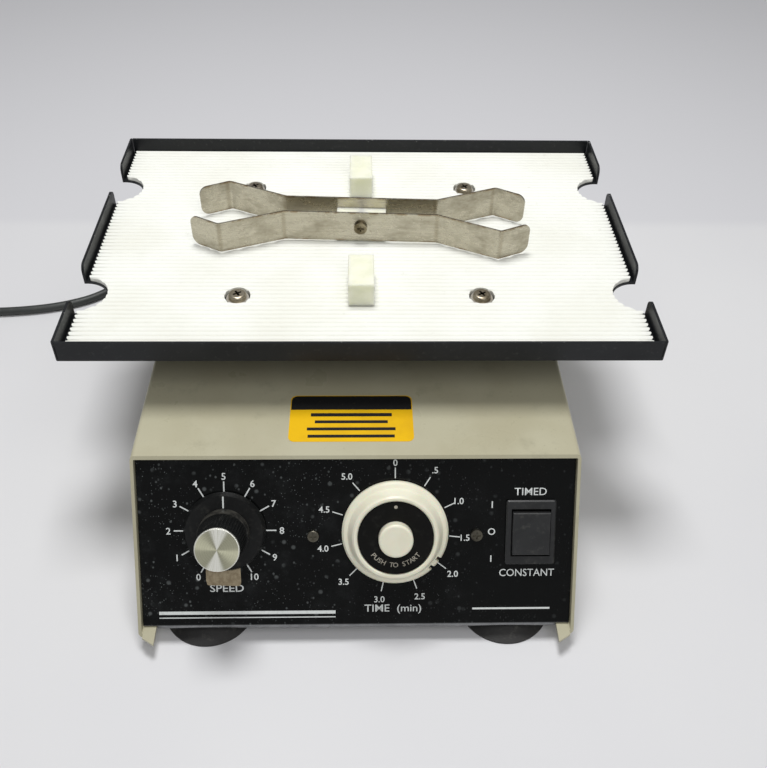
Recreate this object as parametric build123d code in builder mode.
import os
from math import cos, radians, sin, tan

from build123d import *

# Orbital shaker for microplates. The origin is on the bench, under the middle of the
# object without its cord: +X to the right, +Y to the rear, +Z up. Millimetres.

# Driving dimensions ---------------------------------------------------------------------
overall_depth = 277.75      # toes of the cover's flanges to the tray's rear rim
foot_height = 8.0           # bench to the underside of the cover
body_width = 203.2
body_height = 73.5
body_depth = 262.0          # along the bottom edge of the cover's side
lean = 32.4                 # front panel, degrees back from vertical
sheet = 1.5
flange = 7.7                # in-turned bottom edge of the cover
recess = 2.5                # front panel behind the cover's front edge
panel_thickness = 1.6
platform_gap = 25.0         # cover to the tray's underside
tray_length = 279.4
tray_depth = 190.5
rim_height = 10.7
tray_sheet = 1.3
throw = 1.5                 # eccentricity: half the orbit's diameter
post_spacing_x = 120.6
post_spacing_y = 101.6
post_diameter = 12.0
shaft_diameter = 8.0        # spindle, idler shafts and every crank pin
bearing_diameter = 22.0
bearing_width = 7.0
running = 0.05              # radial clearance of a shaft that turns in a bore
cord_diameter = 5.5

# Places worked out from them ------------------------------------------------------------
top_z = foot_height + body_height
tray_z = top_z + platform_gap
slope = tan(radians(lean))
body_x = -2.5               # the tray stands a little off the housing's middle
plate_x = body_x + throw    # platform at rest
toe_y = -overall_depth / 2
front_y = toe_y + flange * slope
front_top_y = front_y + body_height * slope
rear_y = front_y + body_depth
tray_y = overall_depth / 2 - tray_depth / 2
left_x = body_x - body_width / 2
panel_normal = Vector(0, -cos(radians(lean)), sin(radians(lean)))
panel_origin = Vector(body_x, front_top_y, top_z) - panel_normal * recess

pan_z = foot_height + sheet             # underside of the pan
floor_z = pan_z + sheet                 # top of the pan's floor
deck_z = 44.0
deck_top = deck_z + bearing_width
crank_z = deck_top + 2.0                # crank discs
crank_thickness = 5.0
plate_z = 61.0
plate_top = plate_z + bearing_width
pulley_z = 15.0
idler_x = 72.0
idler_y = 36.0
motor_x = -30.0
motor_y = -40.0
corners = [(-1, -1), (1, -1), (-1, 1), (1, 1)]

pieces = []


def finish(builder, name):
    """Label a piece and keep it for export."""
    builder.part.label = name
    pieces.append(builder.part)


def slope_y(z, depth=0.0):
    """Y of the front slope at height z, a depth behind the cover's front edge."""
    return front_y + (z - foot_height) * slope + depth / cos(radians(lean))


def on_panel(x, down, out=0.0):
    """A plane parallel to the front panel, x from its middle and down from its top."""
    up = panel_normal.cross(Vector(1, 0, 0))
    origin = panel_origin + Vector(x, 0, 0) - up * down + panel_normal * out
    return Plane(origin=origin, x_dir=(1, 0, 0), z_dir=panel_normal)


# Cover: one folded sheet, open at the front, the rear and most of the bottom ---------------
cover_bend = 2.0
post_hole = 24.0
with BuildPart() as cover:
    with BuildSketch(Plane.YZ.offset(left_x)):
        with BuildLine():
            Polyline(
                (front_y, foot_height),
                (front_top_y, top_z),
                (rear_y, top_z),
                (rear_y, foot_height),
                close=True,
            )
        make_face()
    extrude(amount=body_width)
    fillet(cover.edges().filter_by(Axis.Y), cover_bend)
    with BuildSketch(Plane.XZ):
        with Locations((body_x, foot_height + body_height / 2)):
            RectangleRounded(body_width - 2 * sheet, body_height - 2 * sheet, cover_bend - sheet)
            Rectangle(body_width - 2 * sheet, body_height / 2 - sheet, align=(Align.CENTER, Align.MAX))
        with Locations((body_x, foot_height)):
            Rectangle(body_width - 2 * flange, 4 * sheet)
    extrude(amount=2 * overall_depth, both=True, mode=Mode.SUBTRACT)
    with BuildSketch(Plane.XY.offset(foot_height)):
        for side in (-1, 1):
            outer_x = body_x + side * (body_width / 2 - cover_bend)
            inner_x = body_x + side * (body_width / 2 - flange)
            with BuildLine():
                Polyline(
                    (outer_x, front_y + 2.0),
                    (outer_x, front_y - cover_bend * slope),
                    (inner_x, toe_y),
                    (inner_x, front_y + 2.0),
                    close=True,
                )
            make_face()
    extrude(amount=sheet)
    with BuildSketch(Plane.XY.offset(top_z)):
        with Locations((body_x, tray_y)):
            with GridLocations(post_spacing_x, post_spacing_y, 2, 2):
                Circle(post_hole / 2)
    extrude(amount=-2 * sheet, mode=Mode.SUBTRACT)
finish(cover, "cover")

# Rubber grommets that trim the four post holes ------------------------------------------------
with BuildPart() as hole_grommets:
    with Locations((body_x, tray_y, top_z - sheet - 1.2)):
        with GridLocations(post_spacing_x, post_spacing_y, 2, 2):
            Cylinder(post_hole / 2 + 1.6, sheet + 2.4, align=(Align.CENTER, Align.CENTER, Align.MIN))
            Cylinder(
                post_hole / 2 - 1.6,
                sheet + 2.4,
                align=(Align.CENTER, Align.CENTER, Align.MIN),
                mode=Mode.SUBTRACT,
            )
    with Locations((body_x, tray_y, top_z - sheet)):
        with GridLocations(post_spacing_x, post_spacing_y, 2, 2):
            Cylinder(
                post_hole / 2 + 1.7, sheet, align=(Align.CENTER, Align.CENTER, Align.MIN), mode=Mode.SUBTRACT
            )
            Cylinder(post_hole / 2, sheet, align=(Align.CENTER, Align.CENTER, Align.MIN))
            Cylinder(
                post_hole / 2 - 1.6,
                sheet,
                align=(Align.CENTER, Align.CENTER, Align.MIN),
                mode=Mode.SUBTRACT,
            )
finish(hole_grommets, "hole_grommets")

# Chassis: floor, rear wall and the sloping wall that backs the front panel -------------------
chassis_half = body_width / 2 - sheet - 0.2
chassis_depth = recess + panel_thickness
wall_top = top_z - sheet - 0.3
rear_wall = rear_y - 2.0
fuse_x = 58.0
fuse_z = 32.0
exit_x = -75.0
exit_z = 24.0
gland_hole = 12.0
speed_x = -60.4
speed_down = 36.1
timer_x = 17.4
timer_down = 36.7
timer_screw = 37.6          # timer's middle to its two screws, which stand lower
screw_drop = 2.0
screw_hole = 1.8
rocker_x = 79.9
rocker_down = 37.4
rocker_cut = (20.6, 28.4)
pan_bend = 3.5              # outer radius of the pan's bottom bends
with BuildPart() as chassis:
    with BuildSketch(Plane.YZ.offset(body_x - chassis_half)):
        with BuildLine():
            Polyline(
                (slope_y(wall_top, chassis_depth), wall_top),
                (slope_y(pan_z, chassis_depth), pan_z),
                (rear_wall, pan_z),
                (rear_wall, wall_top),
                close=True,
            )
        make_face()
    extrude(amount=2 * chassis_half)
    fillet(chassis.edges().filter_by(Axis.X).group_by(Axis.Z)[0], pan_bend)
    with BuildSketch(Plane.YZ.offset(body_x - chassis_half - 1)):
        with BuildLine():
            Polyline(
                (slope_y(top_z, chassis_depth + sheet), top_z),
                (slope_y(floor_z, chassis_depth + sheet), floor_z),
                (rear_wall - sheet, floor_z),
                (rear_wall - sheet, top_z),
                close=True,
            )
        make_face()
        fillet(vertices().group_by(Axis.Z)[0], 2.0)
    extrude(amount=2 * chassis_half + 2, mode=Mode.SUBTRACT)
    with BuildSketch(on_panel(speed_x, speed_down)):
        Circle(6.0)
    with BuildSketch(on_panel(timer_x, timer_down)):
        Circle(14.0)
        with Locations((-timer_screw, -screw_drop), (timer_screw, -screw_drop)):
            Circle(screw_hole)
    with BuildSketch(on_panel(rocker_x, rocker_down)):
        Rectangle(*rocker_cut)
    extrude(amount=-8.0, mode=Mode.SUBTRACT)
    with BuildSketch(Plane.XZ.offset(-rear_wall)):
        with Locations((fuse_x, fuse_z)):
            Circle(6.2)
        with Locations((exit_x, exit_z)):
            Circle(gland_hole / 2)
        with Locations((body_x, 52)):
            with GridLocations(9.0, 0.0, 13, 1):
                SlotOverall(26, 3.2, rotation=90)
    extrude(amount=2 * sheet, mode=Mode.SUBTRACT)
finish(chassis, "chassis")

# Screws that hold the cover's flanges to the pan ------------------------------------------------
cover_screw_y = (-100.0, 0.0, 100.0)
with BuildPart() as cover_screws:
    for side in (-1, 1):
        for y in cover_screw_y:
            with Locations((body_x + side * (body_width / 2 - flange / 2 - 0.8), y, foot_height)):
                Cylinder(2.6, 1.6, align=(Align.CENTER, Align.CENTER, Align.MAX))
finish(cover_screws, "cover_screws")

# Front panel with its cut-outs ------------------------------------------------------------------
panel_half = 99.7
panel_top = 0.4
panel_bottom = 82.6
lip_half = 93.4             # the bottom lip is bent under the pan between the cover's flanges
lip_top = 20.0
lip_rear = -121.5
lip_bend = 2.2              # outer radius
lip_z = pan_z - panel_thickness - 0.8
lip_inside = lip_z + panel_thickness
with BuildPart() as front_panel:
    with BuildSketch(on_panel(0, (panel_top + panel_bottom) / 2)):
        Rectangle(2 * panel_half, panel_bottom - panel_top)
    extrude(amount=-panel_thickness)
    with BuildSketch(Plane.YZ.offset(body_x - lip_half)):
        with BuildLine():
            Polyline(
                (slope_y(lip_top, recess), lip_top),
                (slope_y(lip_z, recess), lip_z),
                (lip_rear, lip_z),
                (lip_rear, lip_inside),
                (slope_y(lip_inside, chassis_depth), lip_inside),
                (slope_y(lip_top, chassis_depth), lip_top),
                close=True,
            )
        make_face()
        fillet(vertices().sort_by(lambda corner: corner.X + corner.Y)[0], lip_bend)
        inner = Vector(slope_y(lip_inside, chassis_depth), lip_inside)
        fillet(vertices().sort_by_distance(inner)[0], lip_bend - panel_thickness)
    extrude(amount=2 * lip_half)
    with BuildSketch(on_panel(speed_x, speed_down)):
        Circle(4.8)
    with BuildSketch(on_panel(timer_x, timer_down)):
        Circle(12.0)
        with Locations((-timer_screw, -screw_drop), (timer_screw, -screw_drop)):
            Circle(screw_hole)
    with BuildSketch(on_panel(rocker_x, rocker_down)):
        Rectangle(*rocker_cut)
    extrude(amount=-panel_thickness, mode=Mode.SUBTRACT)
finish(front_panel, "front_panel")

with BuildPart() as panel_screws:
    for x in (timer_x - timer_screw, timer_x + timer_screw):
        with BuildSketch(on_panel(x, timer_down + screw_drop, -6.0)):
            Circle(1.7)
        extrude(amount=6.0)
        with BuildSketch(on_panel(x, timer_down + screw_drop)):
            Circle(2.7)
        extrude(amount=1.7)
        fillet(panel_screws.edges().filter_by(GeomType.CIRCLE).sort_by(SortBy.RADIUS)[-1:], 0.4)
        with BuildSketch(on_panel(x, timer_down + screw_drop, 1.7)):
            Rectangle(3.4, 0.8)
            Rectangle(0.8, 3.4)
        extrude(amount=-0.9, mode=Mode.SUBTRACT)
finish(panel_screws, "panel_screws")

# Four suction-cup feet and their screws -----------------------------------------------------------
foot_radius = 22.0
foot_x = 71.5
foot_y = (-112.5, 94.0)
foot_spots = [(-foot_x, foot_y[0]), (foot_x, foot_y[0]), (-foot_x, foot_y[1]), (foot_x, foot_y[1])]
for number, (x, y) in enumerate(foot_spots, 1):
    with BuildPart() as foot:
        with BuildSketch(Plane.XZ):
            with BuildLine():
                Polyline(
                    (0, pan_z),
                    (8.0, pan_z),
                    (9.0, 6.2),
                    (14.0, 4.6),
                    (foot_radius, 1.0),
                    (foot_radius, 0),
                    (foot_radius - 2.0, 0),
                    (10.0, 2.4),
                    (0, 2.8),
                    close=True,
                )
            make_face()
        revolve(axis=Axis.Z)
        fillet(foot.edges().filter_by(GeomType.CIRCLE).group_by(Axis.Z)[-1], 0.8)
    foot.part = foot.part.moved(Location((body_x + x, y, 0)))
    finish(foot, f"suction_foot_{number}")

with BuildPart() as foot_nuts:
    for x, y in foot_spots:
        with BuildSketch(Plane.XY.offset(floor_z)):
            with Locations((body_x + x, y)):
                RegularPolygon(4.6, 6)
        extrude(amount=3.2)
finish(foot_nuts, "foot_nuts")

# Deck on standoffs: carries the spindle's upper bearing and the idler bearings ------------------
deck_front = -8.0
deck_rear = 112.0
deck_half = 88.0
standoff_x = 82.0
standoff_y = (-2.0, 106.0)
with BuildPart() as deck:
    with BuildSketch(Plane.XY.offset(deck_z)):
        with Locations((body_x, (deck_front + deck_rear) / 2)):
            RectangleRounded(2 * deck_half, deck_rear - deck_front, 6.0)
        with Locations((body_x, tray_y)):
            Circle(bearing_diameter / 2, mode=Mode.SUBTRACT)
            with GridLocations(2 * idler_x, 2 * idler_y, 2, 2):
                Circle(bearing_diameter / 2, mode=Mode.SUBTRACT)
            with Locations((-38, 0), (38, 0)):
                SlotOverall(46, 22, rotation=90, mode=Mode.SUBTRACT)
    extrude(amount=bearing_width)
    chamfer(deck.faces().sort_by(Axis.Z)[-1].outer_wire().edges(), 0.6)
finish(deck, "deck")

with BuildPart() as deck_standoffs:
    for side in (-1, 1):
        for y in standoff_y:
            with BuildSketch(Plane.XY.offset(floor_z)):
                with Locations((body_x + side * standoff_x, y)):
                    RegularPolygon(5.0, 6)
            extrude(amount=deck_z - floor_z)
finish(deck_standoffs, "deck_standoffs")

with BuildPart() as deck_screws:
    for side in (-1, 1):
        for y in standoff_y:
            with Locations((body_x + side * standoff_x, y, deck_top)):
                Cylinder(3.8, 2.6, align=(Align.CENTER, Align.CENTER, Align.MIN))
finish(deck_screws, "deck_screws")

# Spindle housing hangs under the deck ------------------------------------------------------------
hub_z = 26.0
with BuildPart() as spindle_housing:
    with BuildSketch(Plane.XY.offset(hub_z)):
        with Locations((body_x, tray_y)):
            Circle(17.0)
            Circle(bearing_diameter / 2, mode=Mode.SUBTRACT)
    extrude(amount=deck_z - hub_z)
    with BuildSketch(Plane.XY.offset(deck_z - 4.0)):
        with Locations((body_x, tray_y)):
            Circle(25.0)
            Circle(bearing_diameter / 2, mode=Mode.SUBTRACT)
    extrude(amount=4.0)
finish(spindle_housing, "spindle_housing")


def ball_bearing(x, y, z, shaft_radius):
    """A shielded ball bearing: outer ring, shield and inner ring as one ring."""
    with Locations((x, y, z)):
        Cylinder(bearing_diameter / 2, bearing_width, align=(Align.CENTER, Align.CENTER, Align.MIN))
        Cylinder(
            shaft_radius + running,
            bearing_width,
            align=(Align.CENTER, Align.CENTER, Align.MIN),
            mode=Mode.SUBTRACT,
        )
    for face_z in (z, z + bearing_width - 0.4):
        with Locations((x, y, face_z)):
            Cylinder(
                bearing_diameter / 2 - 2.0,
                0.4,
                align=(Align.CENTER, Align.CENTER, Align.MIN),
                mode=Mode.SUBTRACT,
            )
            Cylinder(shaft_radius + 2.0, 0.4, align=(Align.CENTER, Align.CENTER, Align.MIN))
            Cylinder(
                shaft_radius + running,
                0.4,
                align=(Align.CENTER, Align.CENTER, Align.MIN),
                mode=Mode.SUBTRACT,
            )


with BuildPart() as spindle_bearings:
    ball_bearing(body_x, tray_y, hub_z, shaft_diameter / 2)
    ball_bearing(body_x, tray_y, deck_z, shaft_diameter / 2)
finish(spindle_bearings, "spindle_bearings")

with BuildPart() as idler_bearings:
    for side_x, side_y in corners:
        ball_bearing(body_x + side_x * idler_x, tray_y + side_y * idler_y, deck_z, shaft_diameter / 2)
finish(idler_bearings, "idler_bearings")

with BuildPart() as plate_bearings:
    ball_bearing(plate_x, tray_y, plate_z, shaft_diameter / 2)
    for side_x, side_y in corners:
        ball_bearing(plate_x + side_x * idler_x, tray_y + side_y * idler_y, plate_z, shaft_diameter / 2)
finish(plate_bearings, "plate_bearings")

# Drive spindle: shaft, crank head and an eccentric pin that stands to +X ------------------------
with BuildPart() as drive_spindle:
    with BuildSketch(Plane.XY.offset(pulley_z - 1.0)):
        with Locations((body_x, tray_y)):
            Circle(shaft_diameter / 2)
    extrude(amount=crank_z - pulley_z + 1.0)
    with BuildSketch(Plane.XY.offset(crank_z)):
        with Locations((body_x, tray_y)):
            Circle(11.0)
    extrude(amount=crank_thickness)
    with BuildSketch(Plane.XY.offset(crank_z + crank_thickness)):
        with Locations((body_x + throw, tray_y)):
            Circle(shaft_diameter / 2)
    extrude(amount=plate_top - crank_z - crank_thickness)
    chamfer(drive_spindle.faces().sort_by(Axis.Z)[-1].edges(), 0.5)
finish(drive_spindle, "drive_spindle")

with BuildPart() as counterweight:
    with BuildSketch(Plane.XY.offset(crank_z)):
        with Locations((body_x, tray_y)):
            Circle(34.0)
            Circle(11.0, mode=Mode.SUBTRACT)
            Rectangle(40.0, 80.0, align=(Align.MIN, Align.CENTER), mode=Mode.SUBTRACT)
    extrude(amount=crank_thickness)
finish(counterweight, "counterweight")

# Grooved pulleys and the round belt ---------------------------------------------------------------
drive_radius = 30.0
motor_pulley_radius = 10.0
groove = 2.6
pulley_width = 9.0
belt_radius = 2.0
belt_z = pulley_z + pulley_width / 2
pulleys = [
    ("drive_pulley", drive_radius, shaft_diameter / 2, body_x, tray_y),
    ("motor_pulley", motor_pulley_radius, 3.0, motor_x, motor_y),
]
for name, radius, bore, x, y in pulleys:
    with BuildPart() as pulley:
        with BuildSketch(Plane.XZ.offset(-y)):
            with BuildLine():
                Polyline(
                    (x + bore, pulley_z),
                    (x + radius, pulley_z),
                    (x + radius, pulley_z + 1.4),
                    (x + radius - groove, pulley_z + 3.2),
                    (x + radius - groove, pulley_z + pulley_width - 3.2),
                    (x + radius, pulley_z + pulley_width - 1.4),
                    (x + radius, pulley_z + pulley_width),
                    (x + bore, pulley_z + pulley_width),
                    close=True,
                )
            make_face()
        revolve(axis=Axis((x, y, 0), (0, 0, 1)))
        if radius > 20:
            with BuildSketch(Plane.XY.offset(pulley_z)):
                with Locations((x, y)):
                    with PolarLocations(16.0, 5):
                        Circle(5.0)
            extrude(amount=pulley_width, mode=Mode.SUBTRACT)
    finish(pulley, name)

belt_gap = 0.3
with BuildPart() as drive_belt:
    with BuildSketch(Plane.XY.offset(belt_z - belt_radius / 2)) as belt_outside:
        with Locations((body_x, tray_y)):
            Circle(drive_radius - groove + belt_gap + belt_radius)
        with Locations((motor_x, motor_y)):
            Circle(motor_pulley_radius - groove + belt_gap + belt_radius)
        make_hull()
    extrude(amount=belt_radius)
    with BuildSketch(Plane.XY.offset(belt_z - belt_radius / 2)) as belt_inside:
        with Locations((body_x, tray_y)):
            Circle(drive_radius - groove + belt_gap)
        with Locations((motor_x, motor_y)):
            Circle(motor_pulley_radius - groove + belt_gap)
        make_hull()
    extrude(amount=belt_radius, mode=Mode.SUBTRACT)
finish(drive_belt, "drive_belt")

# Motor hung shaft-down from a bracket ------------------------------------------------------------
bracket_z = 26.0
motor_radius = 28.0
motor_height = 30.0
with BuildPart() as motor_bracket:
    with BuildSketch(Plane.XY.offset(bracket_z)):
        with Locations((motor_x, motor_y)):
            RectangleRounded(72.0, 60.0, 4.0)
            Circle(9.0, mode=Mode.SUBTRACT)
    extrude(amount=2.5)
    for side in (-1, 1):
        with BuildSketch(Plane.XY.offset(floor_z)):
            with Locations((motor_x + side * 32.0, motor_y)):
                Rectangle(5.0, 50.0)
        extrude(amount=bracket_z - floor_z)
finish(motor_bracket, "motor_bracket")

with BuildPart() as motor_body:
    with BuildSketch(Plane.XY.offset(bracket_z + 2.5)):
        with Locations((motor_x, motor_y)):
            Circle(motor_radius)
            Circle(4.5, mode=Mode.SUBTRACT)
    extrude(amount=motor_height)
    fillet(motor_body.faces().sort_by(Axis.Z)[-1].outer_wire().edges(), 3.0)
finish(motor_body, "motor_body")

with BuildPart() as motor_shaft:
    with BuildSketch(Plane.XY.offset(pulley_z - 1.0)):
        with Locations((motor_x, motor_y)):
            Circle(3.0)
    extrude(amount=bracket_z + 2.5 + motor_height - pulley_z - 2.0)
finish(motor_shaft, "motor_shaft")

# Four idler cranks keep the platform from turning ------------------------------------------------
for number, (side_x, side_y) in enumerate(corners, 1):
    x = body_x + side_x * idler_x
    y = tray_y + side_y * idler_y
    with BuildPart() as idler:
        with BuildSketch(Plane.XY.offset(deck_z - 3.0)):
            with Locations((x, y)):
                Circle(shaft_diameter / 2)
        extrude(amount=crank_z - deck_z + 3.0)
        with BuildSketch(Plane.XY.offset(crank_z)):
            with Locations((x, y)):
                Circle(9.0)
        extrude(amount=crank_thickness)
        with BuildSketch(Plane.XY.offset(crank_z + crank_thickness)):
            with Locations((x + throw, y)):
                Circle(shaft_diameter / 2)
        extrude(amount=plate_top - crank_z - crank_thickness)
    finish(idler, f"idler_crank_{number}")

# Drive plate and the four posts that carry the tray ----------------------------------------------
with BuildPart() as drive_plate:
    with BuildSketch(Plane.XY.offset(plate_z)):
        with Locations((plate_x, tray_y)):
            RectangleRounded(172.0, 126.0, 8.0)
            Circle(bearing_diameter / 2, mode=Mode.SUBTRACT)
            with GridLocations(2 * idler_x, 2 * idler_y, 2, 2):
                Circle(bearing_diameter / 2, mode=Mode.SUBTRACT)
    extrude(amount=bearing_width)
finish(drive_plate, "drive_plate")

with BuildPart() as platform_posts:
    with BuildSketch(Plane.XY.offset(plate_top)):
        with Locations((plate_x, tray_y)):
            with GridLocations(post_spacing_x, post_spacing_y, 2, 2):
                Circle(post_diameter / 2)
    extrude(amount=tray_z - plate_top)
finish(platform_posts, "platform_posts")

# Tray: folded sheet with a rim, finger notches in its ends and slit corners ----------------------
notch_radius = 12.7
notch_y = 49.3
notch_x = 138.4
rim_corner = 4.0            # rounds the rim's ends beside each notch
rim_top = tray_z + rim_height
notch_play = 0.5            # the rounding's cut starts inside the notch
corner_slit = 0.35
mat_thickness = 2.4
mat_z = tray_z + tray_sheet
mat_top = mat_z + mat_thickness
clip_x = -0.4
clip_y = tray_y + 3.2
stud_radius = 2.5           # welded to the tray: the clip swivels on it
stud_height = 6.0           # above the mat
screw_bore = 2.2            # for the tray screws
with BuildPart() as tray:
    with BuildSketch(Plane.XY.offset(tray_z)):
        with Locations((0, tray_y)):
            RectangleRounded(tray_length, tray_depth, 1.2)
    extrude(amount=rim_height)
    with BuildSketch(Plane.XY.offset(mat_z)):
        with Locations((0, tray_y)):
            Rectangle(tray_length - 2 * tray_sheet, tray_depth - 2 * tray_sheet)
    extrude(amount=rim_height, mode=Mode.SUBTRACT)
    with BuildSketch(Plane.XY.offset(tray_z)):
        with Locations((0, tray_y)):
            with GridLocations(2 * notch_x, 2 * notch_y, 2, 2):
                Circle(notch_radius)
    extrude(amount=rim_height, mode=Mode.SUBTRACT)
    with BuildSketch(Plane.XY.offset(tray_z)):
        with Locations((plate_x, tray_y)):
            with GridLocations(post_spacing_x, post_spacing_y, 2, 2):
                Circle(screw_bore)
    extrude(amount=rim_height, mode=Mode.SUBTRACT)
    for side in (-1, 1):
        with BuildSketch(Plane.YZ.offset(side * tray_length / 2)):
            for notch in (-notch_y, notch_y):
                for away in (-1, 1):
                    corner_y = tray_y + notch + away * (notch_radius + rim_corner / 2 - notch_play)
                    round_y = tray_y + notch + away * (notch_radius + rim_corner)
                    with Locations((corner_y, rim_top - rim_corner / 2)):
                        Rectangle(rim_corner + 2 * notch_play, rim_corner)
                    with Locations((round_y, rim_top - rim_corner)):
                        Circle(rim_corner, mode=Mode.SUBTRACT)
        extrude(amount=-side * (tray_sheet + 0.2), mode=Mode.SUBTRACT)
    with BuildSketch(Plane.XY.offset(mat_z)):
        for side_x, side_y in corners:
            with Locations((side_x * (tray_length / 2 - tray_sheet), tray_y + side_y * tray_depth / 2)):
                Rectangle(corner_slit, 2 * tray_sheet)
    extrude(amount=rim_height, mode=Mode.SUBTRACT)
    with BuildSketch(Plane.XY.offset(mat_z)):
        with Locations((clip_x, clip_y)):
            Circle(stud_radius)
    extrude(amount=mat_thickness + stud_height)
finish(tray, "tray")

# Ribbed rubber mat ---------------------------------------------------------------------------------
rib_pitch = 3.175
rib_depth = 0.9
screw_clearance = 6.4
mat_length = tray_length - 2 * tray_sheet - 3.0
mat_depth = tray_depth - 2 * tray_sheet - 0.6
rib_count = int(mat_depth // rib_pitch)
with BuildPart() as ribbed_mat:
    with BuildSketch(Plane.XY.offset(mat_z)):
        with Locations((0, tray_y)):
            Rectangle(mat_length, mat_depth)
            with GridLocations(2 * notch_x, 2 * notch_y, 2, 2):
                Circle(notch_radius + 0.6, mode=Mode.SUBTRACT)
        with Locations((plate_x, tray_y)):
            with GridLocations(post_spacing_x, post_spacing_y, 2, 2):
                Circle(screw_clearance, mode=Mode.SUBTRACT)
        with Locations((clip_x, clip_y)):
            Circle(stud_radius + 0.4, mode=Mode.SUBTRACT)
    extrude(amount=mat_thickness)
    with BuildSketch(Plane.YZ.offset(-mat_length / 2)):
        with Locations((tray_y, mat_z + mat_thickness)):
            with GridLocations(rib_pitch, 0, rib_count, 1):
                Trapezoid(1.3, 2 * rib_depth, 75, rotation=180)
    extrude(amount=mat_length, mode=Mode.SUBTRACT)
finish(ribbed_mat, "ribbed_mat")

# Tray screws: pan heads with a cross recess over plain washers ------------------------------------
washer_radius = 5.6
washer_top = mat_z + 0.9
head_radius = 4.4
head_height = 2.8
with BuildPart() as tray_washers:
    with BuildSketch(Plane.XY.offset(mat_z)):
        with Locations((plate_x, tray_y)):
            with GridLocations(post_spacing_x, post_spacing_y, 2, 2):
                Circle(washer_radius)
                Circle(screw_bore, mode=Mode.SUBTRACT)
    extrude(amount=washer_top - mat_z)
finish(tray_washers, "tray_washers")

with BuildPart() as tray_screws:
    with BuildSketch(Plane.XY.offset(washer_top)):
        with Locations((plate_x, tray_y)):
            with GridLocations(post_spacing_x, post_spacing_y, 2, 2):
                Circle(head_radius)
    extrude(amount=head_height)
    fillet(tray_screws.faces().group_by(Axis.Z)[-1].edges(), 1.3)
    with BuildSketch(Plane.XY.offset(washer_top)):
        with Locations((plate_x, tray_y)):
            with GridLocations(post_spacing_x, post_spacing_y, 2, 2):
                Circle(2.1)
    extrude(amount=-(washer_top - tray_z))
    with BuildSketch(Plane.XY.offset(washer_top + head_height)):
        with Locations((plate_x, tray_y)):
            with GridLocations(post_spacing_x, post_spacing_y, 2, 2):
                Rectangle(head_radius, 1.1, rotation=30)
                Rectangle(1.1, head_radius, rotation=30)
    extrude(amount=-1.5, mode=Mode.SUBTRACT)
finish(tray_screws, "tray_screws")

# Nylon stop blocks between the plates -----------------------------------------------------------------
block_width = 12.7
block_length = 25.4
block_height = 12.7
block_offset = 49.7
for name, side in (("stop_block_front", -1), ("stop_block_rear", 1)):
    with BuildPart() as block:
        with BuildSketch(Plane.XY.offset(mat_top)):
            with Locations((clip_x, clip_y + side * block_offset)):
                Rectangle(block_width, block_length)
        extrude(amount=block_height)
        fillet(block.edges().filter_by(Axis.Z), 0.5)
        chamfer(block.faces().sort_by(Axis.Z)[-1].edges(), 0.4)
    finish(block, name)

# Spring clip: two bowed straps back to back on a spacer ---------------------------------------------
clip_turn = -2.4
strap_height = 16.8
strap_thickness = 0.9
strap_gap = 7.3             # clip's middle to a strap's inner face
strap_flat = 40.0           # half the straight middle
elbow_x = 72.0
elbow_y = 21.0
tip_x = 87.5
tip_y = 13.0
bend_radius = 2.2
clip_z = mat_top + 1.0


def clip_plane(z):
    """A horizontal plane centred on the clip and turned with it."""
    return Plane(origin=(clip_x, clip_y, z), x_dir=Vector(1, 0, 0).rotate(Axis.Z, clip_turn), z_dir=(0, 0, 1))


def clip_side(out=0.0):
    """An upright plane along the clip's middle, at the clip screw's height, facing the front."""
    across = Vector(1, 0, 0).rotate(Axis.Z, clip_turn)
    front = Vector(0, -1, 0).rotate(Axis.Z, clip_turn)
    origin = Vector(clip_x, clip_y, clip_z + strap_height / 2) + front * out
    return Plane(origin=origin, x_dir=across, z_dir=front)


for name, side in (("clip_strap_front", -1), ("clip_strap_rear", 1)):
    with BuildPart() as strap:
        with BuildSketch(clip_plane(clip_z)):
            with BuildLine():
                spine = FilletPolyline(
                    (-tip_x, side * tip_y),
                    (-elbow_x, side * elbow_y),
                    (-strap_flat, side * strap_gap),
                    (strap_flat, side * strap_gap),
                    (elbow_x, side * elbow_y),
                    (tip_x, side * tip_y),
                    radius=bend_radius,
                )
            trace(line_width=strap_thickness)
        extrude(amount=strap_height)
        across = strap.edges().filter_by(lambda edge: abs(edge.length - strap_thickness) < 0.01)
        fillet(across.sort_by(lambda edge: abs(edge.center().X - clip_x))[-4:], 4.5)
        with BuildSketch(clip_side()):
            Circle(2.1)
        extrude(amount=30, both=True, mode=Mode.SUBTRACT)
    finish(strap, name)

spacer_height = 11.0
with BuildPart() as clip_spacer:
    with BuildSketch(clip_plane(mat_top)):
        RectangleRounded(26.0, 2 * strap_gap - strap_thickness, 0.8)
    extrude(amount=spacer_height + 1.0)
    with BuildSketch(clip_side()):
        Circle(2.1)
    extrude(amount=30, both=True, mode=Mode.SUBTRACT)
    with BuildSketch(clip_plane(mat_top)):
        Circle(stud_radius + running)
    extrude(amount=stud_height + 0.2, mode=Mode.SUBTRACT)
finish(clip_spacer, "clip_spacer")

strap_face = strap_gap + strap_thickness / 2
with BuildPart() as clip_screw:
    with BuildSketch(clip_side()):
        Circle(2.0)
    extrude(amount=strap_face, both=True)
    with BuildSketch(clip_side(strap_face)):
        Circle(3.4)
    extrude(amount=1.8)
    with BuildSketch(clip_side(strap_face + 1.8)):
        Rectangle(3.4, 0.8)
        Rectangle(0.8, 3.4)
    extrude(amount=-0.9, mode=Mode.SUBTRACT)
    with BuildSketch(clip_side(-strap_face)):
        RegularPolygon(4.0, 6)
    extrude(amount=-3.0)
finish(clip_screw, "clip_screw")

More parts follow.
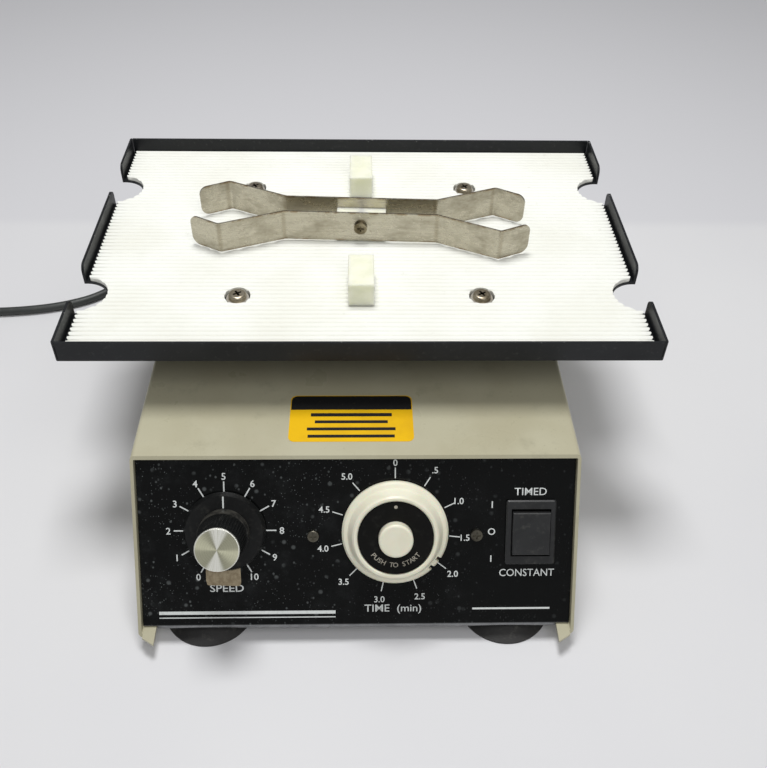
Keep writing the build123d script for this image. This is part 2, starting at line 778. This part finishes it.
# Speed control: potentiometer and its skirted knob -------------------------------------------------
knob_height = 24.5
with BuildPart() as speed_pot:
    with BuildSketch(on_panel(speed_x, speed_down, -chassis_depth - sheet)):
        Circle(12.0)
    extrude(amount=-14.0)
    with BuildSketch(on_panel(speed_x, speed_down, -chassis_depth - sheet)):
        Circle(4.7)
        Circle(3.25, mode=Mode.SUBTRACT)
    extrude(amount=chassis_depth + sheet + 1.0)
    with BuildSketch(on_panel(speed_x, speed_down, 1.0)):
        Circle(3.25)
    extrude(amount=-12.0, mode=Mode.SUBTRACT)
finish(speed_pot, "speed_pot")

skirt_radius = 18.9
skirt_bottom = 1.4          # out from the panel, as the next heights are
skirt_top = 3.6
hub_radius = 11.6
hub_top = 8.6
cap_thickness = 1.0
pot_radius = 3.175
grip_bore = 14.4
grip_taper = 3.0
flute_count = 48
with BuildPart() as pot_shaft:
    with BuildSketch(on_panel(speed_x, speed_down, -10.0)):
        Circle(pot_radius)
    extrude(amount=28.0)
finish(pot_shaft, "pot_shaft")

with BuildPart() as knob_skirt:
    with BuildSketch(on_panel(speed_x, speed_down, skirt_bottom)):
        Circle(skirt_radius)
        Circle(pot_radius, mode=Mode.SUBTRACT)
    extrude(amount=skirt_top - skirt_bottom, taper=30)
finish(knob_skirt, "speed_knob_skirt")

with BuildPart() as knob_body:
    with BuildSketch(on_panel(speed_x, speed_down, skirt_top)):
        Circle(hub_radius)
    extrude(amount=hub_top - skirt_top)
    with BuildSketch(on_panel(speed_x, speed_down, hub_top)):
        Circle(hub_radius - 0.7)
        with PolarLocations(hub_radius - 0.7, flute_count):
            Circle(0.4, mode=Mode.SUBTRACT)
    extrude(amount=knob_height - cap_thickness - hub_top, taper=grip_taper)
    with BuildSketch(on_panel(speed_x, speed_down, skirt_top)):
        Circle(pot_radius)
    extrude(amount=grip_bore, mode=Mode.SUBTRACT)
finish(knob_body, "speed_knob_body")

with BuildPart() as knob_cap:
    with BuildSketch(on_panel(speed_x, speed_down, knob_height - cap_thickness)):
        Circle(9.9)
    extrude(amount=cap_thickness)
    fillet(knob_cap.faces().sort_by(Axis.Y)[0].edges(), 0.4)
finish(knob_cap, "speed_knob_cap")

# Timer: clockwork body, setting ring, progress disc and start button ---------------------------------
ring_radius = 24.4
ring_inner = 17.4
ring_height = 10.2
timer_setting = 128.0       # degrees clockwise from the top: 2.0 minutes
notch_half_angle = 6.0
timer_face = on_panel(timer_x, timer_down)
timer_section = Plane(origin=timer_face.origin, x_dir=(1, 0, 0), z_dir=-timer_face.y_dir)
disc_out = 8.6
button_radius = 7.8
button_bottom = 4.2         # out from the panel
button_top = 14.0
with BuildPart() as timer_body:
    with BuildSketch(on_panel(timer_x, timer_down, -chassis_depth - sheet)):
        RectangleRounded(44.0, 44.0, 3.0)
        with Locations((-timer_screw, -screw_drop), (timer_screw, -screw_drop)):
            Circle(5.0)
        with Locations((0, -screw_drop)):
            Rectangle(2 * timer_screw, 8.0)
    extrude(amount=-2.0)
    with BuildSketch(on_panel(timer_x, timer_down, -chassis_depth - sheet - 2.0)):
        RectangleRounded(44.0, 44.0, 3.0)
    extrude(amount=-24.0)
    with BuildSketch(on_panel(timer_x, timer_down, -chassis_depth - sheet)):
        Circle(11.0)
    extrude(amount=chassis_depth + sheet + 0.6)
    with BuildSketch(on_panel(timer_x, timer_down, 1.0)):
        Circle(4.0)
    extrude(amount=-22.0, mode=Mode.SUBTRACT)
finish(timer_body, "timer_body")

with BuildPart() as timer_ring:
    with BuildSketch(timer_section):
        with BuildLine():
            Polyline(
                (ring_radius - 4.4, 1.0),
                (ring_radius, 1.0),
                (ring_radius, 2.8),
                (ring_radius - 0.9, 4.0),
                (ring_radius - 2.6, 4.6),
                (ring_inner + 2.3, ring_height - 0.9),
                (ring_inner + 1.5, ring_height),
                (ring_inner + 0.6, ring_height),
                (ring_inner, ring_height - 0.5),
                (ring_inner, disc_out - 0.3),
                (ring_inner - 2.0, disc_out - 0.3),
                (ring_inner - 2.0, disc_out - 1.5),
                (ring_inner, disc_out - 1.5),
                close=True,
            )
        make_face()
    revolve(axis=Axis(timer_section.origin, panel_normal))
    with BuildSketch(on_panel(timer_x, timer_down)):
        for side in (-1, 1):
            turn = timer_setting + side * notch_half_angle
            with Locations((ring_radius * sin(radians(turn)), ring_radius * cos(radians(turn)))):
                Rectangle(2.0, 4.4, rotation=-timer_setting)
    extrude(amount=ring_height + 1, mode=Mode.SUBTRACT)
finish(timer_ring, "timer_ring")

with BuildPart() as timer_disc:
    with BuildSketch(on_panel(timer_x, timer_down, disc_out)):
        Circle(ring_inner - 0.3)
        Circle(button_radius + 0.3, mode=Mode.SUBTRACT)
    extrude(amount=0.8)
finish(timer_disc, "timer_disc")

with BuildPart() as timer_button:
    with BuildSketch(on_panel(timer_x, timer_down, button_bottom)):
        Circle(button_radius)
    extrude(amount=button_top - button_bottom)
    fillet(timer_button.faces().sort_by(Axis.Y)[0].edges(), 1.2)
    with BuildSketch(on_panel(timer_x, timer_down, button_bottom)):
        Circle(3.9)
    extrude(amount=-16.0)
finish(timer_button, "timer_button")

# Power switch: housing with a bezel, and its rocker -------------------------------------------------
bezel = (23.0, 31.0)
pin_radius = 1.2            # the rocker's two pivot pins, moulded on its sides
pin_length = 0.9
rocker_pivot = -3.0
rocker_size = (17.4, 22.0)
rocker_centre = on_panel(rocker_x, rocker_down, rocker_pivot)
rocker_side = Plane(origin=rocker_centre.origin, x_dir=rocker_centre.y_dir, z_dir=(1, 0, 0))
with BuildPart() as switch_housing:
    with BuildSketch(on_panel(rocker_x, rocker_down)):
        RectangleRounded(*bezel, 1.2)
    extrude(amount=1.8)
    chamfer(switch_housing.faces().sort_by(Axis.Y)[0].edges(), 0.6)
    with BuildSketch(on_panel(rocker_x, rocker_down)):
        Rectangle(rocker_cut[0] - 0.4, rocker_cut[1] - 0.4)
    extrude(amount=-24.0)
    with BuildSketch(on_panel(rocker_x, rocker_down, 1.8)):
        Rectangle(rocker_size[0] + 0.8, rocker_size[1] + 0.8)
    extrude(amount=-12.0, mode=Mode.SUBTRACT)
    with BuildSketch(rocker_side.offset(-rocker_size[0] / 2 - pin_length - running)):
        Circle(pin_radius + running)
    extrude(amount=rocker_size[0] + 2 * (pin_length + running), mode=Mode.SUBTRACT)
    with BuildSketch(on_panel(rocker_x, rocker_down, -22.2)):
        with GridLocations(10.0, 9.0, 2, 3):
            Rectangle(6.3, 0.8)
    extrude(amount=-7.0)
finish(switch_housing, "switch_housing")

rocker_half = rocker_size[1] / 2 - 0.8
with BuildPart() as switch_rocker:
    with BuildSketch(rocker_side.offset(-rocker_size[0] / 2)):
        with BuildLine():
            Polyline(
                (-rocker_half, 6.8),
                (-rocker_half + 0.2, 2.0),
                (-3.5, -3.5),
                (3.5, -3.5),
                (rocker_half - 0.2, 2.0),
                (rocker_half, 6.8),
            )
            ThreePointArc((rocker_half, 6.8), (0, 6.3), (-rocker_half, 6.8))
        make_face()
    extrude(amount=rocker_size[0])
    with BuildSketch(rocker_side.offset(-rocker_size[0] / 2 - pin_length)):
        Circle(pin_radius)
    extrude(amount=rocker_size[0] + 2 * pin_length)
    fillet(switch_rocker.faces().sort_by(lambda f: f.center().dot(panel_normal))[-1].edges(), 0.6)
finish(switch_rocker, "switch_rocker")

# Fuse holder in the rear wall ----------------------------------------------------------------------
with BuildPart() as fuse_holder:
    with BuildSketch(Plane.XZ.offset(-rear_wall)):
        with Locations((fuse_x, fuse_z)):
            Circle(6.0)
    extrude(amount=28.0)
    with BuildSketch(Plane.XZ.offset(-rear_wall)):
        with Locations((fuse_x, fuse_z)):
            Circle(8.5)
    extrude(amount=-1.8)
    with BuildSketch(Plane.XZ.offset(-rear_wall - 1.8)):
        with Locations((fuse_x, fuse_z)):
            Circle(6.4)
            with PolarLocations(6.4, 18):
                Circle(0.5, mode=Mode.SUBTRACT)
    extrude(amount=-7.0)
    with BuildSketch(Plane.XZ.offset(-rear_wall - 8.8)):
        with Locations((fuse_x, fuse_z)):
            Rectangle(9.0, 1.2)
    extrude(amount=1.2, mode=Mode.SUBTRACT)
finish(fuse_holder, "fuse_holder")

# Speed-control circuit board on its standoffs, with a transformer, capacitor and heat sink -----------
board_x = 59.0
board_y = -39.0
board_z = floor_z + 6.0
board_width = 50.0
board_depth = 56.0
with BuildPart() as circuit_board:
    with BuildSketch(Plane.XY.offset(board_z)):
        with Locations((board_x, board_y)):
            Rectangle(board_width, board_depth)
    extrude(amount=1.6)
    with BuildSketch(Plane.XY.offset(floor_z)):
        with Locations((board_x, board_y)):
            with GridLocations(board_width - 8.0, board_depth - 8.0, 2, 2):
                Circle(3.0)
    extrude(amount=board_z - floor_z)
    with BuildSketch(Plane.XY.offset(board_z + 1.6)):
        with Locations((board_x - 6.0, board_y - 10.0)):
            Rectangle(32.0, 27.0)
    extrude(amount=22.0)
    with BuildSketch(Plane.XY.offset(board_z + 1.6)):
        with Locations((board_x + 15.0, board_y + 16.0), (board_x - 15.0, board_y + 18.0)):
            Circle(6.5)
    extrude(amount=16.0)
    with BuildSketch(Plane.XY.offset(board_z + 1.6)):
        with Locations((board_x + 20.0, board_y - 10.0)):
            Rectangle(4.0, 26.0)
    extrude(amount=20.0)
finish(circuit_board, "circuit_board")

# Power cord: strain relief, the stretch that lies free, the put-away coil and the plug ---------------
relief_length = 31.0
relief_end = rear_wall + relief_length
lying = cord_diameter / 2 + 0.05
coil_x = -292.0
coil_y = 72.4
coil_outer = 44.5
coil_inner = 17.5
coil_height = 11.4
entry_radius = 41.6
with BuildPart() as strain_relief:
    with BuildSketch(Plane.YZ.offset(exit_x)):
        with BuildLine():
            Polyline(
                (rear_wall - 7.0, exit_z),
                (rear_wall - 7.0, exit_z + 7.2),
                (rear_wall - sheet, exit_z + 7.2),
                (rear_wall - sheet, exit_z + gland_hole / 2 - 0.1),
                (rear_wall, exit_z + gland_hole / 2 - 0.1),
                (rear_wall, exit_z + 8.0),
                (rear_wall + 2.6, exit_z + 8.0),
                (rear_wall + 3.4, exit_z + 5.6),
                (relief_end, exit_z + 3.9),
                (relief_end, exit_z),
                close=True,
            )
        make_face()
    revolve(axis=Axis((exit_x, 0, exit_z), (0, 1, 0)))
finish(strain_relief, "strain_relief")

cord_route = [
    (exit_x, relief_end, exit_z),
    (-75.5, 176.0, 22.5),
    (-78.5, 195.0, 16.0),
    (-87.0, 212.0, 8.0),
    (-102.0, 224.0, 3.2),
    (-122.0, 226.5, lying),
    (-140.0, 217.0, lying),
    (-151.0, 198.0, lying),
    (-156.5, 174.0, lying),
    (-165.0, 150.0, lying),
    (-180.0, 131.0, lying),
    (-203.0, 120.5, lying),
    (-229.0, 115.6, lying),
    (-254.0, 114.3, lying),
    (coil_x + 16.0, coil_y + entry_radius, lying),
]


def bend_radii(route):
    """The largest arc that each corner of a route has room for."""
    radii = []
    for before, corner, after in zip(route, route[1:], route[2:]):
        run_in = Vector(*corner) - Vector(*before)
        run_out = Vector(*after) - Vector(*corner)
        turn = radians(run_in.get_angle(run_out))
        radii.append(0.45 * min(run_in.length, run_out.length) / tan(turn / 2))
    return radii


cord_radii = bend_radii(cord_route)
with BuildPart() as power_cord:
    with BuildLine() as cord_path:
        cord_line = FilletPolyline(*cord_route, radius=cord_radii)
    with BuildSketch(Plane(origin=cord_route[0], z_dir=cord_line % 0)):
        Circle(cord_diameter / 2)
    sweep()
finish(power_cord, "power_cord")

with BuildPart() as cord_coil:
    with BuildSketch(Plane.XY):
        with Locations((coil_x, coil_y)):
            Circle(coil_outer)
            Circle(coil_inner, mode=Mode.SUBTRACT)
    extrude(amount=coil_height)
    fillet(cord_coil.edges().filter_by(GeomType.CIRCLE), 2.0)
finish(cord_coil, "cord_coil")

# The plug lies beside the coil, its blades towards the front
plug_x = coil_x - entry_radius
plug_start = coil_y - 15.0
plug_z = 10.0
plug_relief = 22.0
plug_body_length = 30.0
plug_face = plug_start - plug_relief - plug_body_length
with BuildPart() as plug_body:
    with BuildSketch(Plane.XZ.offset(-plug_start)):
        with Locations((plug_x, plug_z)):
            Circle(3.8)
    with BuildSketch(Plane.XZ.offset(-plug_start + plug_relief)):
        with Locations((plug_x, plug_z)):
            Circle(6.0)
    loft()
    with BuildSketch(Plane.XZ.offset(-plug_start + plug_relief)):
        with Locations((plug_x, plug_z)):
            RectangleRounded(18.0, 16.0, 5.0)
    with BuildSketch(Plane.XZ.offset(-plug_face - 8.0)):
        with Locations((plug_x, plug_z)):
            RectangleRounded(26.0, 20.0, 6.0)
    loft()
    with BuildSketch(Plane.XZ.offset(-plug_face - 8.0)):
        with Locations((plug_x, plug_z)):
            RectangleRounded(26.0, 20.0, 6.0)
    extrude(amount=8.0)
finish(plug_body, "plug_body")

with BuildPart() as plug_blades:
    with BuildSketch(Plane.XZ.offset(-plug_face)):
        with Locations((plug_x - 6.35, plug_z - 3.0), (plug_x + 6.35, plug_z - 3.0)):
            Rectangle(1.5, 6.35)
        with Locations((plug_x, plug_z + 5.0)):
            Circle(2.4)
    extrude(amount=17.0)
finish(plug_blades, "plug_blades")

for piece in pieces:
    print(f"{piece.label:22s} solids {len(piece.solids())} volume {piece.volume:10.1f}")

os.makedirs("parts", exist_ok=True)
for piece in pieces:
    export_step(piece, f"parts/{piece.label}.step")
